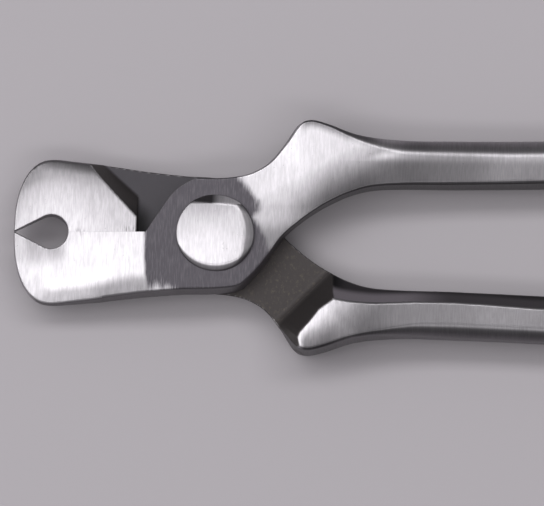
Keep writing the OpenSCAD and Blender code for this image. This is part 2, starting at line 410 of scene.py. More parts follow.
def face_field(x, y):
    """The other jaw's side of the middle plane, beside the round of the boss, below 0 in that space."""
    turn = math.pi - BOSS_TANGENT
    boss = BOSS_R - np.hypot(x, y)
    tangent = BOSS_R - (x * math.cos(turn) + y * math.sin(turn))
    edge = np.where(y * math.cos(turn) > x * math.sin(turn), tangent, boss)
    return np.maximum(-y, edge) + np.maximum(0, x)


def lever_field(x, y, z, dist, slope_y, near_y, near_x):
    """One lever's metal, from a place and its distance, slope and nearest point of the outline."""
    top = z > 0
    inner = near_y < np.minimum(INNER_SLOPE * near_x, handle_middle(near_x))
    crown = jaw_crown(x, y, dist, slope_y, near_y)
    half = np.where(top, outer_half(x, y) - crown, lap_half(x, y) - crown)
    over = np.abs(z) - half
    lean = np.where(inner & top, table(x, INNER_LEAN), table(x, FLANK_LEAN))
    side = dist + lean * np.abs(z) / half
    body = meet(side, over, edge_radius(x, top, inner, half))
    body = bevelled(body, side, over, table(x, BEVEL_WIDTH) * inner * (z < 0))
    body = meet(body, -face_field(x, y), FACE_EDGE)
    body = meet(body, -lap_field(x, y, z), CUT_EDGE)
    body = meet(body, -pocket_field(x, y), CUT_EDGE)
    return meet(body, BORE_R - np.hypot(x, y), BORE_EDGE)


# Mesh of a field: one point in each cell that the surface crosses, moved onto the surface.
CORNERS = [(i, j, k) for i in (0, 1) for j in (0, 1) for k in (0, 1)]
CELLS_ROUND = ((-1, -1), (0, -1), (0, 0), (-1, 0))
PROBE = 0.02
LEAST_SLOPE2, LONGEST_MOVE, TINY = 0.05, 0.2, 1e-9


def at_corner(a, c):
    """A grid's values at one corner of each cell."""
    return a[c[0]:a.shape[0] - 1 + c[0], c[1]:a.shape[1] - 1 + c[1], c[2]:a.shape[2] - 1 + c[2]]


def cell_points(field, cell, xs, ys, zs):
    """The mean of the places where the surface crosses each cell's edges."""
    value, place = {}, {}
    for c in CORNERS:
        at = cell + c
        value[c] = field[tuple(at.T)]
        place[c] = np.stack([xs[at[:, 0]], ys[at[:, 1]], zs[at[:, 2]]], 1)
    total = np.zeros((len(cell), 3))
    weight = np.zeros(len(cell))
    for c in CORNERS:
        for axis in range(3):
            if c[axis]:
                continue
            e = tuple(1 if a == axis else c[a] for a in range(3))
            crosses = (value[c] < 0) != (value[e] < 0)
            gap = np.where(crosses, value[c] - value[e], 1)
            t = np.clip(value[c] / gap, 0, 1)[:, None]
            total += np.where(crosses[:, None], place[c] * (1 - t) + place[e] * t, 0)
            weight += crosses
    return total / weight[:, None]


def axis_quads(inside, ids, axis):
    """Quads across the grid lines along one axis where they pass the surface."""
    u, v = [a for a in range(3) if a != axis]
    first = [slice(None)] * 3
    second = [slice(None)] * 3
    first[axis] = slice(0, -1)
    second[axis] = slice(1, None)
    for s in (first, second):
        s[u] = slice(1, -1)
        s[v] = slice(1, -1)
    at = np.argwhere(inside[tuple(first)] != inside[tuple(second)])
    at[:, u] += 1
    at[:, v] += 1
    outward = inside[tuple(at.T)]
    ring = []
    for du, dv in CELLS_ROUND:
        c = at.copy()
        c[:, u] += du
        c[:, v] += dv
        ring.append(ids[tuple(c.T)])
    quad = np.stack(ring, 1)
    keep = outward if axis != 1 else ~outward
    quad[~keep] = quad[~keep][:, ::-1]
    return quad


def net(field, xs, ys, zs):
    """Points and quads of the surface where the field on the grid is 0."""
    inside = field < 0
    count = np.zeros(tuple(n - 1 for n in field.shape), np.uint8)
    for c in CORNERS:
        count += at_corner(inside, c)
    active = (count > 0) & (count < len(CORNERS))
    ids = np.full(active.shape, -1, np.int64)
    ids[active] = np.arange(active.sum())
    points = cell_points(field, np.argwhere(active), xs, ys, zs)
    return points, np.concatenate([axis_quads(inside, ids, axis) for axis in range(3)])


def sample(at, slopes=True, e=PROBE):
    """A field's value at each point and, if wanted, its slopes."""
    value = at(0, 0, 0)
    if not slopes:
        return value, None
    ahead = at(e, 0, 0) - at(-e, 0, 0)
    across = at(0, e, 0) - at(0, -e, 0)
    above = at(0, 0, e) - at(0, 0, -e)
    return value, np.stack([ahead, across, above], 1) / (2 * e)


def settle(points, evaluate, steps=3):
    """Moves points onto the surface; returns them with their outward directions."""
    for _ in range(steps):
        value, grad = evaluate(points)
        size = np.maximum((grad**2).sum(1), LEAST_SLOPE2)
        move = -(value / size)[:, None] * grad
        length = np.linalg.norm(move, axis=1)[:, None]
        points = points + move * np.minimum(1, LONGEST_MOVE / np.maximum(length, TINY))
    value, grad = evaluate(points)
    return points, grad / np.linalg.norm(grad, axis=1)[:, None]


def grade(*parts):
    """A row of grid places from (start, end, step) parts."""
    places = [np.linspace(a, b, max(2, round((b - a) / s) + 1)) for a, b, s in parts]
    return np.unique(np.round(np.concatenate(places), 6))


FINE_END, CAP_LENGTH, COARSE = 62, 9, 3.2
TIP_ROOM, SIDE_ROOM, GRID_TOP = 0.5, 0.6, 9.2
FACE_LAYERS = (-0.06, 0.02, 0.02)
CORNER_Y, CORNER_Z = 0.05, 0.4


def lever_grid(step):
    """Grid places along x, y and z, coarse along the handle and close at the jaws' meeting face."""
    cap = HANDLE_REACH - CAP_LENGTH
    xs = grade(
        (-JAW_REACH - TIP_ROOM, FINE_END, step), (FINE_END, cap, step * COARSE),
        (cap, HANDLE_REACH + SIDE_ROOM, step))
    ys = grade((-JAW_HALF_W - SIDE_ROOM, HANDLE_END_Y + HANDLE_HALF_W + SIDE_ROOM, step), FACE_LAYERS)
    return xs, ys, grade((-GRID_TOP, GRID_TOP, step))


def lever_mesh(step):
    """Points, quads, directions, and finish numbers with painted light and shade, of one lever."""
    plan = Plan(outline())
    xs, ys, zs = lever_grid(step)
    gx, gy = [a.ravel() for a in np.meshgrid(xs, ys, indexing="ij")]
    dist, slope, near = plan.measure(gx, gy)
    level = [a.reshape(len(xs), len(ys)) for a in (dist, slope[:, 1], near[:, 1], near[:, 0])]
    x, y = [a.reshape(len(xs), len(ys)) for a in (gx, gy)]
    field = np.empty((len(xs), len(ys), len(zs)), np.float32)
    for k, z in enumerate(zs):
        field[:, :, k] = lever_field(x, y, np.full_like(x, z), *level)
    points, quads = net(field, xs, ys, zs)

    def evaluate(p, slopes=True):
        x, y, z = p.T
        d, s, n = plan.measure(x, y)
        return sample(lambda ax, ay, az: lever_field(
            x + ax, y + ay, z + az, d + s[:, 0] * ax + s[:, 1] * ay, s[:, 1], n[:, 1], n[:, 0]), slopes)

    points, normals = settle(points, evaluate)
    x, y, z = points.T
    corner = (x < -JAW_ROOT) & (np.abs(y) < CORNER_Y) & (np.abs(z) > jaw_half(x) - CORNER_Z)
    normals[corner] = np.stack([0 * z, 0 * z, np.sign(z)], 1)[corner]
    dist, slope, near = plan.measure(x, y)
    spots = Spots(points, normals, dist, near[:, 1])
    return points, quads, normals, lever_finish_and_painted_light(spots, bend_of(points, evaluate))


# Finishes and painted light and shade, as numbers at the mesh's points that the materials read. Tables hold
# places in millimetres and the values there. Pairs hold the start and length of a smooth step, or the centre
# and width of a hill.

# Where the ground finish ends on the boss side, and the lap cuts.
JAW_BORDER = ([-14, -12, -10.5, -6, 0], [-16.5, -16.65, -17.1, -17.45, -17.4])
ROOT_BORDER = (
    [-6, -1, 2, 4.2, 6, 8.5, 11, 13.4, 15.9, 18],
    [13.6, 12.2, 10.2, 9.0, 10.3, 10.1, 8.0, 6.0, 4.9, 4],
)
JAW_SHARP, ROOT_SHARP, RIM_SHARP = 2.2, 0.9, 0.55
RIM_Y = -13.1
RIM_ENDS = ((1.2, (-12, 4)), (3, (-7, 6)))
FULL_GROUND = 6.0
LAP_NEAR, LAP_SOFT, LAP_HIGH = 0.12, 0.25, 0.3
FACE_NEAR, FACE_SOFT, FACE_SHARE = 0.3, 0.2, 0.6

# Tones of the boss side past the rivet: painted light and shade, with a painted highlight line along the
# handle, a painted highlight spot on the root, and painted shade at the crest, the fork and the inner side.
ROOT_LEAN, ROOT_LEAN_Y, ROOT_LEAN_LOW = 1.75, 17.5, 7
# Centre and width, across the handle, of the painted highlight line.
HIGHLIGHT_LINE = (0.24, 0.2)
HIGHLIGHT_LINE_TONE = ([46, 58], [0.4, 0.25])
HANDLE_TONE = ([44, 50, 56, 66, 72], [0.215, 0.25, 0.3, 0.3, 0.34])
HANDLE_ACROSS = 0.04
HANDLE_OUTER, HANDLE_OUTER_STEP = 0.1, (0.4, 0.3)
HANDLE_STEP = (44, 12)
TONE_TOP = (
    [25, 28, 31, 33, 35, 37, 39, 41, 45, 60],
    [1.02, 0.85, 0.74, 0.64, 0.55, 0.45, 0.36, 0.29, 0.225, 0.2],
)
ROOT_HIGHLIGHT_LINE, ROOT_HIGHLIGHT_LINE_STEP = 1.8, (33, 6)
CREST_TONE = ([0, 0.65, 1.4, 2, 2.6, 3.4], [0.06, 0.1, 0.26, 0.5, 0.76, 1])
CREST_ON, CREST_OFF = (20, 2.5), (37, 7)
FORK_SHADE, FORK_STEP = 0.5, (-4.5, 5)
# A painted highlight spot on the root.
SPOT_HIGHLIGHT, SPOT_HIGHLIGHT_X, SPOT_HIGHLIGHT_Y = 0.25, (17.5, 3.5), (7, 3.5)
INNER_SHADE, INNER_REACH, INNER_ON, INNER_OFF = 0.56, 9, (22, 6), (35, 8)

# Tones of the lap side past the slope: painted light and shade, a painted highlight strip along the slope's
# edge that fades to painted shade towards the outer side and the facet's lower end.
TONE_LOW = ([0, 0.7, 2.2, 4.2, 7.2, 11.2], [1, 0.82, 0.58, 0.39, 0.26, 0.24])
FACET_TONE = ([0, 1.8, 3.3, 4.8, 6.5, 8], [0.25, 0.3, 0.36, 0.52, 0.8, 0.95])
FACET_ON, FACET_OFF = (0.4, 1.2), (27, 9)
FACET_END, FACET_END_STEP = 0.3, (5.5, 3)
LOW_HANDLE, LOW_OUTER, LOW_OUTER_STEP = 0.38, 0.35, (0.4, 0.4)
LOW_HANDLE_STEP = (36, 14)

# Tones of the jaws: painted light and shade, with painted shade round the pocket, towards the meeting face,
# near the boss and at the tip, a painted highlight band on the rolled long side, and painted shade towards
# the back jaw's outer side.
POCKET_SHADE, POCKET_ON, POCKET_Y = 0.48, (35.5, 4), (-10.5, 6)
POCKET_TIP, POCKET_TIP_STEP = 0.55, (45.5, 3)
MIDDLE_SHADE, MIDDLE_STEP = 0.12, (-5, 5)
BOSS_SHADE, BOSS_REACH, BOSS_SOFT, BOSS_STEP = 0.42, 6.5, 0.45, (-33, 7)
TIP_SHADE, TIP_SHADE_STEP = 0.12, (42, 8)
FRONT_LEVEL = 1.06
ROLL_TONE = ([-9, -6.5, -5.4, -4.2, -3, -1.5], [1, 1.12, 1.22, 1.16, 0.88, 0.86])
ROLL_ON, ROLL_OFF = (-44, 3), (-29, 8)
JAW_SIDE = (
    [-50.4, -49.5, -47.8, -44.3, -40.6, -38, -30, -18],
    [11, 13.5, 15.5, 17.4, 18.35, 18.2, 17.3, 16],
)
BACK_TONE = (
    [0, 2, 4, 6, 8, 10, 12, 14, 16, 18.4],
    [0.27, 0.29, 0.38, 0.62, 0.73, 0.8, 0.86, 0.9, 0.96, 0.98],
)
BACK_LEVEL, BACK_LOSS, BACK_STEP = 0.95, 0.16, (-40, 14)

# Faces, whose soft edge with the surface's lean also paints shade; worn edges and a painted highlight along
# the slope's foot; painted shadow in the nook; walls with painted light and shade; and stains.
LAP_WARM_MIN, LAP_WARM_STEP = 0.3, (0, 6)
ROOT_WARM_ON, ROOT_WARM_OFF = (38, 8), (62, 8)
FACE_UP, CRISP_UP, SOFT_UP = (0.45, 0.5), (0.72, 0.24), (0.15, 0.5)
CRISP_STEP, SOFT_STEP = (22, 6), (12, 5)
FACE_TIP_STEP = (JAW_REACH - 7, 4)
SEAM_STEP = (-0.3, 0.1)
BEND_REACH, BEND_GAIN = 0.25, 0.35
# A painted highlight along the slope's foot: hill centre and width, half height, strength.
FOOT_HIGHLIGHT_HILL, FOOT_HIGHLIGHT_HALF, FOOT_HIGHLIGHT = (0.1, 0.35), 1.0, 0.35
NO_EDGE_ON, NO_EDGE_OFF, SEAM_HALF = (15, 3), (34, 8), 0.5
# Reach along x and y of the painted shadow in the nook behind the jaw, on the lap's floor by the slope's
# foot.
NOOK_SHADE_X, NOOK_SHADE_Y = (15.2, 3), (-8.5, 5)
ROOT_STAIN = ((-21.3, 1.6), (0.7, 0.8))
POCKET_STAIN, POCKET_STAIN_AT = 0.7, ((-33.8, 1.0), (0, 0.8))
WALL_TONE = 0.4
# Painted shade on the inner sides and the lap side's low walls; painted light on the outer handle walls, the
# pocket's wall and the bevel.
WALL_INNER, WALL_INNER_STEP = 0.22, (14, 6)
WALL_LOW, WALL_LOW_ON, WALL_LOW_OFF = 0.2, (8, 4), (-34, 6)
WALL_STEP, WALL_OUTER_TOP, WALL_OUTER_LOW, WALL_HANDLE_INNER = (40, 8), 0.4, 0.12, -0.1
POCKET_WALL, POCKET_WALL_X, POCKET_WALL_Y, POCKET_WALL_NEAR = 0.6, (24, 4), (-5.5, 1), 0.5
BEVEL_UP_ON, BEVEL_UP_OFF, BEVEL_ON, BEVEL_HEIGHT = (0.35, 0.15), (-0.82, 0.1), (21, 4), (-3.6, 1.8)
BEVEL_TONE, BEVEL_TONE_LOSS, BEVEL_TONE_STEP = 0.95, 0.65, (46, 14)
SLOPE_UP = (-0.93, 0.2)


class Spots:
    """The mesh's points, with what the finishes and the painted light and shade ask of each."""

    def __init__(self, points, normals, dist, near_y):
        self.x, self.y, self.z = points.T
        self.dist, self.near_y = dist, near_y
        self.up = np.abs(normals[:, 2])
        self.top = self.z > 0
        self.outer = self.y > handle_middle(self.x)
        self.across = (self.y - handle_middle(self.x)) / HANDLE_HALF_W
        # Where the painted highlight line runs along the handle.
        self.highlight_line = hill((self.across, *HIGHLIGHT_LINE))
        self.past_root = self.x - ROOT_LEAN * (np.maximum(self.y, ROOT_LEAN_LOW) - ROOT_LEAN_Y)


def bend_of(points, evaluate):
    """How convex the surface is at each point, from -1 to 1."""
    centre, _ = evaluate(points)
    bend = -6 * centre
    for axis in range(3):
        for way in (-BEND_REACH, BEND_REACH):
            step = np.zeros(3)
            step[axis] = way
            value, _ = evaluate(points + step, False)
            bend += value
    return np.clip(bend / BEND_REACH**2 * BEND_GAIN, -1, 1)


def ground_zone(s):
    """How far a place lies inside the ground finish, in millimetres."""
    jaw = JAW_SHARP * (table(s.y, JAW_BORDER) - s.x)
    root = (s.x - table(s.y, ROOT_BORDER)) * ROOT_SHARP
    rim = (RIM_Y - s.y) * RIM_SHARP
    for amount, step in RIM_ENDS:
        rim = rim - amount * rise(s.x, *step)
    return np.where(s.top, np.maximum(np.maximum(jaw, root), rim), FULL_GROUND)


def lap_zone(s):
    """1 on the lap cuts, less on the flat beside the other jaw, 0 elsewhere."""
    lap = 1 - np.clip((np.abs(lap_field(s.x, s.y, s.z)) - LAP_NEAR) / LAP_SOFT, 0, 1)
    lap *= (s.z < LAP_HIGH)
    beside = ease((FACE_NEAR - np.abs(face_field(s.x, s.y))) / FACE_SOFT) * (s.x > -JAW_ROOT) * FACE_SHARE
    return np.maximum(lap, beside)


def top_painted_light(s):
    """Painted light and shade on the boss side's root and handle."""
    # Painted light on the handle, with a painted highlight line along it and lighter towards its outer side.
    handle = table(s.x, HANDLE_TONE) + HANDLE_ACROSS * s.across
    handle += table(s.x, HIGHLIGHT_LINE_TONE) * s.highlight_line + HANDLE_OUTER * rise(s.across, *HANDLE_OUTER_STEP)
    # Painted light falling off along the root, with the painted highlight line carried onto it.
    tone = table(s.past_root, TONE_TOP) * (1 + ROOT_HIGHLIGHT_LINE * s.highlight_line * rise(s.past_root, *ROOT_HIGHLIGHT_LINE_STEP))
    # Painted shade towards the crest's outer edge, at the fork and along the inner side, and a painted
    # highlight spot.
    crest = 1 - table(-s.dist, CREST_TONE)
    tone *= 1 - crest * s.outer * rise(s.x, *CREST_ON) * drop(s.x, *CREST_OFF)
    tone *= 1 - FORK_SHADE * rise(-s.y, *FORK_STEP)
    tone *= 1 + SPOT_HIGHLIGHT * hill((s.x, *SPOT_HIGHLIGHT_X), (s.y, *SPOT_HIGHLIGHT_Y))
    inner = np.clip(1 + s.dist / INNER_REACH, 0, 1) * ~s.outer
    tone *= 1 - INNER_SHADE * inner * rise(s.x, *INNER_ON) * drop(s.x, *INNER_OFF)
    return tone + (handle - tone) * rise(s.x, *HANDLE_STEP)


def low_painted_light(s):
    """Painted light and shade on the lap side's ground facet and handle."""
    past = past_slope(s.x, s.y, -s.z)
    # A painted highlight strip along the slope's edge, fading to painted shade towards the outer side and
    # the facet's lower end.
    tone = table(past, TONE_LOW)
    facet = 1 - table(-s.dist, FACET_TONE)
    tone *= 1 - facet * s.outer * drop(s.x, *FACET_OFF) * rise(past, *FACET_ON)
    tone *= 1 - FACET_END * rise(-along_slope(s.x, s.y), *FACET_END_STEP)
    # Painted light on the handle, darker towards its outer side.
    handle = LOW_HANDLE * (1 - LOW_OUTER * rise(s.across, *LOW_OUTER_STEP))
    return tone + (handle - tone) * rise(s.x, *LOW_HANDLE_STEP)


def front_painted_light(s):
    """Painted light and shade on the boss side's jaw."""
    # Painted shade round the pocket, towards the meeting face and near the boss along the long side.
    pocket = rise(-s.x, *POCKET_ON) * (1 - POCKET_TIP * rise(-s.x, *POCKET_TIP_STEP)) * rise(s.y, *POCKET_Y)
    near_boss = ease(long_side(s.dist, s.near_y, BOSS_REACH) / BOSS_SOFT) * rise(s.x, *BOSS_STEP)
    tone = (1 - POCKET_SHADE * pocket) * (1 - MIDDLE_SHADE * rise(s.y, *MIDDLE_STEP))
    tone = tone * (1 - BOSS_SHADE * near_boss) * tip_painted_shade(s) * FRONT_LEVEL
    # A painted highlight band and painted shade across the rolled long side.
    on_roll = rise(s.x, *ROLL_ON) * drop(s.x, *ROLL_OFF) * (s.near_y < 0)
    return tone * (1 + (table(s.dist, ROLL_TONE) - 1) * on_roll)


def back_painted_light(s):
    """Painted light and shade on the lap side's jaw, darker towards its outer side."""
    from_side = table(s.x, JAW_SIDE) + s.y
    return table(from_side, BACK_TONE) * (BACK_LEVEL - BACK_LOSS * rise(s.x, *BACK_STEP)) * tip_painted_shade(s)


# Painted shade towards the jaw's tip.
def tip_painted_shade(s):
    return 1 - TIP_SHADE * rise(-s.x, *TIP_SHADE_STEP)


def lever_painted_light(s):
    """Painted light and shade on the ground metal: its brightness, set by place to stand in for how light
    falls.
    """
    jaw = np.where(s.top, front_painted_light(s), back_painted_light(s))
    jaw = np.where(s.top & (s.x > -JAW_ROOT + 1), 1, jaw)
    return np.where(s.x < 0, jaw, np.where(s.top, top_painted_light(s), low_painted_light(s)))


def warm_zone(s, lap):
    """Where the brown scale lies."""
    on_root = rise(s.past_root, *ROOT_WARM_ON) * drop(s.x, *ROOT_WARM_OFF) * s.top
    return np.where(lap > LAP_WARM_MIN, rise(s.x, *LAP_WARM_STEP), on_root)


def face_zone(s):
    """1 on the faces, 0 on the flanks; the soft step with the surface's lean also paints shade on rounded
    edges.
    """
    face = rise(s.up, *FACE_UP)
    crisp = rise(s.up, *CRISP_UP)
    face = face + (crisp - face) * rise(s.x, *CRISP_STEP) * ~s.outer * ~s.top
    soft = rise(s.up, *SOFT_UP)
    face = face + (soft - face) * np.maximum(rise(s.x, *SOFT_STEP), ease(-s.x - JAW_ROOT)) * s.outer
    face = np.maximum(face, rise(-s.x, *FACE_TIP_STEP))
    return np.maximum(face, rise(-np.abs(s.y), *SEAM_STEP) * (s.x < -JAW_ROOT))


def worn_edges_and_foot_highlight(s, bend, face, lap):
    """Convex edges that are worn bright, and a painted highlight along the foot of the slope at the handle.
    """
    # Painted highlight: a light line along the foot of the slope at the handle.
    foot = hill((past_foot(s.x, s.y), *FOOT_HIGHLIGHT_HILL)) * (np.abs(s.z) < FOOT_HIGHLIGHT_HALF)
    crest = rise(s.x, *NO_EDGE_ON) * drop(s.x, *NO_EDGE_OFF) * s.outer
    seam = (s.x < -JAW_ROOT) & (np.abs(s.y) < SEAM_HALF)
    return np.maximum(bend * (1 - np.maximum(crest, seam)) * face, FOOT_HIGHLIGHT * foot * lap)


def stain_zone(s):
    """The dark ticks at the jaw's root and the pocket's tip."""
    (root_x, root_y), (pocket_x, pocket_y) = ROOT_STAIN, POCKET_STAIN_AT
    stain = hill((s.x, *root_x), (np.abs(s.y), *root_y)) * ~s.top
    return stain + POCKET_STAIN * hill((s.x, *pocket_x), (s.y, *pocket_y))


def flank_tone_and_painted_light(s):
    """Brightness of the flanks, the pocket's wall and the bevel: painted shade on the inner sides and the
    lap side's low walls, painted light on the outer handle walls, the pocket's wall and the bevel.
    """
    wall = WALL_TONE - WALL_INNER * rise(s.x, *WALL_INNER_STEP) * ~s.outer
    wall = wall - WALL_LOW * rise(s.x, *WALL_LOW_ON) * rise(-s.x, *WALL_LOW_OFF) * ~s.top
    outer = np.where(s.top, WALL_OUTER_TOP, WALL_OUTER_LOW)
    wall += rise(s.x, *WALL_STEP) * np.where(s.outer, outer, WALL_HANDLE_INNER)
    in_pocket = pocket_field(s.x, s.y) < POCKET_WALL_NEAR
    wall += POCKET_WALL * rise(-s.x, *POCKET_WALL_X) * rise(-np.abs(s.y), *POCKET_WALL_Y) * in_pocket
    bevel = rise(s.up, *BEVEL_UP_ON) * rise(-s.up, *BEVEL_UP_OFF) * ~s.outer * ~s.top * rise(s.x, *BEVEL_ON)
    bevel *= rise(np.abs(s.z) - lap_half(s.x, s.y), *BEVEL_HEIGHT)
    return wall + (BEVEL_TONE - BEVEL_TONE_LOSS * rise(s.x, *BEVEL_TONE_STEP) - wall) * bevel


def lever_finish_and_painted_light(s, bend):
    """The finish numbers and the painted light and shade at each point, which the material reads."""
    lap = lap_zone(s)
    face = face_zone(s)
    return {
        "ground": ground_zone(s),
        "lap": lap,
        # Painted light and shade on the ground metal.
        "tone": lever_painted_light(s),
        "face": face,
        "edge": worn_edges_and_foot_highlight(s, bend, face, lap),
        "warm": warm_zone(s, lap),
        # Flank brightness with painted light and shade.
        "wall": flank_tone_and_painted_light(s),
        "stain": stain_zone(s),
        "slope": rise(-s.up, *SLOPE_UP),
        # Painted shadow in the nook behind the jaw.
        "nook": rise(-s.x, *NOOK_SHADE_X) * rise(-np.abs(s.y), *NOOK_SHADE_Y),
    }


# The rivet: two heads on a shank, the upper one ground to a leaning facet with three bevels. Each plane is
# given by its slope and the length of its direction at the height PLANE_Z.
PLANE_Z = 9.0
FACET_X, FACET_Y = (0.045, 7.5), (0.02, 7.3)
RIGHT_PLANE, RIGHT_X = (0.42, 1.085), -4
BACK_PLANE, BACK_Y = (0.72, 1.23), 7.05
CORNER_PLANE, CORNER_WAY, CORNER_REACH = (0.5, 1.118), (0.62, 0.785), 8.75
ROOF_EDGES = (0.35, 0.6, 0.5)
BEVEL_START, BEVEL_MORE, BEVEL_MORE_STEP = 11.5, 0.4, (2.5, 2.5)
FRONT_START, FRONT_LENGTH = 0.3, 0.7
ROLL_LEAST, ROLL_MORE, ROLL_STEP = 0.3, 1.9, (4, 2)
DOME_R, DOME_Z, BASE_EDGE = 16.38, 5.56, 0.25
RIVET_ROOM, RIVET_TOP = 0.4, 9.4

# Painted light and shade on the upper head: brightness by place, with painted shade on its rim, in its back
# crescent and over its right bevel.
RIVET_TONE = ([-5, -2, 4, 7.3], [1.24, 1.16, 0.82, 0.6])
RIM_SHADE, RIM_WIDTH, RIM_MORE, RIM_SOFT, RIM_SOFT_MORE = 0.4, 0.5, 1.5, 0.4, 1.3
RIGHT_TONE, RIGHT_SIGN = ([0, 5], [0, 0.14]), ([0, 5], [-1, 1])
BACK_SOFT, CRESCENT_TONE = 0.3, ([-1.0, 0.8, 3], [0.09, 1.0, 1.4])
BEVEL_TONES = ([-5, -3, -1, 2, 5, 7], [0.3, 0.5, 0.6, 0.37, 0.26, 0.2])
BEVEL_NEAR, BEVEL_SOFT, BEVEL_RIGHT = 0.1, 0.5, 2
LOWER_TONE = 0.5
RIVET_UP = (0.45, 0.45)


def past_bevel(x, y):
    """Distance past the start of the upper head's right bevel."""
    return np.hypot(x - RIGHT_X, y) - (BEVEL_START + BEVEL_MORE * rise(-y, *BEVEL_MORE_STEP))


def frontness(y, reach):
    """1 at the head's front edge in the picture, 0 at its sides and back."""
    return np.clip((-y / np.maximum(reach, 1) - FRONT_START) / FRONT_LENGTH, 0, 1)


def slant(z, plane, past):
    slope, length = plane
    return (z - PLANE_Z + slope * past) / length


def rivet_field(x, y, z):
    reach = np.hypot(x, y)
    head_z = HALF_T + HEAD_H
    facet = z - head_z + FACET_X[0] * (FACET_X[1] - x) + FACET_Y[0] * (FACET_Y[1] - y)
    right = slant(z, RIGHT_PLANE, past_bevel(x, y))
    back = slant(z, BACK_PLANE, y - BACK_Y)
    corner = slant(z, CORNER_PLANE, x * CORNER_WAY[0] + y * CORNER_WAY[1] - CORNER_REACH)
    roof = meet(meet(facet, back, ROOF_EDGES[0]), meet(right, corner, ROOF_EDGES[1]), ROOF_EDGES[2])
    roll = ROLL_LEAST + ROLL_MORE * frontness(y, reach) * rise(z, *ROLL_STEP)
    dome = np.sqrt(x * x + y * y + (z - DOME_Z) ** 2) - DOME_R
    base = meet(dome, -z - head_z, BASE_EDGE)
    head = meet(reach - HEAD_R, np.maximum(roof, base), roll)
    waist = np.maximum(np.abs(z) - HALF_T, SHANK_R - reach)
    return np.maximum(head, -waist)


def rivet_painted_light(x, y):
    """Painted light and shade on the upper head's facets: brighter towards the front, with painted shade on
    the rim and in the back crescent, and painted light and shade graded over the right bevel.
    """
    reach = np.hypot(x, y)
    low = frontness(y, reach)
    facet = table(y, RIVET_TONE)
    on_rim = (reach - HEAD_R + RIM_MORE * low + RIM_WIDTH) / (RIM_SOFT + RIM_SOFT_MORE * low)
    facet *= 1 - RIM_SHADE * ease(on_rim)
    facet *= 1 + table(x, RIGHT_TONE) * table(y, RIGHT_SIGN)
    back = rise(y, BACK_Y, BACK_SOFT)
    shade = facet * (1 - back) + back * table(x, CRESCENT_TONE)
    on_bevel = ease((past_bevel(x, y) + BEVEL_NEAR) / BEVEL_SOFT) * (1 - back) * ease(x / BEVEL_RIGHT)
    return shade + (table(y, BEVEL_TONES) - shade) * on_bevel


def rivet_mesh(step):
    """Points, quads, directions, and finish numbers with painted light and shade, of the rivet."""
    side = grade((-HEAD_R - RIVET_ROOM, HEAD_R + RIVET_ROOM, step))
    up = grade((-RIVET_TOP, RIVET_TOP, step))
    gx, gy = np.meshgrid(side, side, indexing="ij")
    field = np.stack([rivet_field(gx, gy, np.full_like(gx, z)) for z in up], 2).astype(np.float32)
    points, quads = net(field, side, side, up)

    def evaluate(p, slopes=True):
        return sample(lambda dx, dy, dz: rivet_field(p[:, 0] + dx, p[:, 1] + dy, p[:, 2] + dz), slopes)

    points, normals = settle(points, evaluate)
    x, y, z = points.T
    none = np.zeros(len(x))
    finish = {key: none for key in ("lap", "edge", "warm", "slope", "stain", "nook")}
    finish["ground"] = np.full(len(x), FULL_GROUND)
    # The upper head takes its painted light and shade; the lower head a flat tone.
    finish["tone"] = np.where(z > 0, rivet_painted_light(x, y), LOWER_TONE)
    finish["face"] = rise(np.abs(normals[:, 2]), *RIVET_UP)
    finish["wall"] = np.full(len(x), WALL_TONE)
    return points, quads, normals, finish


def mesh_object(name, points, quads, normals, finish, turn=None):
    """A mesh in metres in the tool's frame, with the lap plane moved to its height."""
    if turn is not None:
        points = points @ turn.T
        normals = normals @ turn.T
    placed = (points + [0, 0, LAP_Z]) * MM
    mesh = bpy.data.meshes.new(name)
    mesh.from_pydata(placed.tolist(), [], quads.tolist())
    mesh.update()
    for p in mesh.polygons:
        p.use_smooth = True
    mesh.normals_split_custom_set_from_vertices(normals.tolist())
    for key, values in finish.items():
        mesh.attributes.new(key, "FLOAT", "POINT").data.foreach_set("value", values.astype(np.float32))
    obj = bpy.data.objects.new(name, mesh)
    bpy.context.scene.collection.objects.link(obj)
    return obj


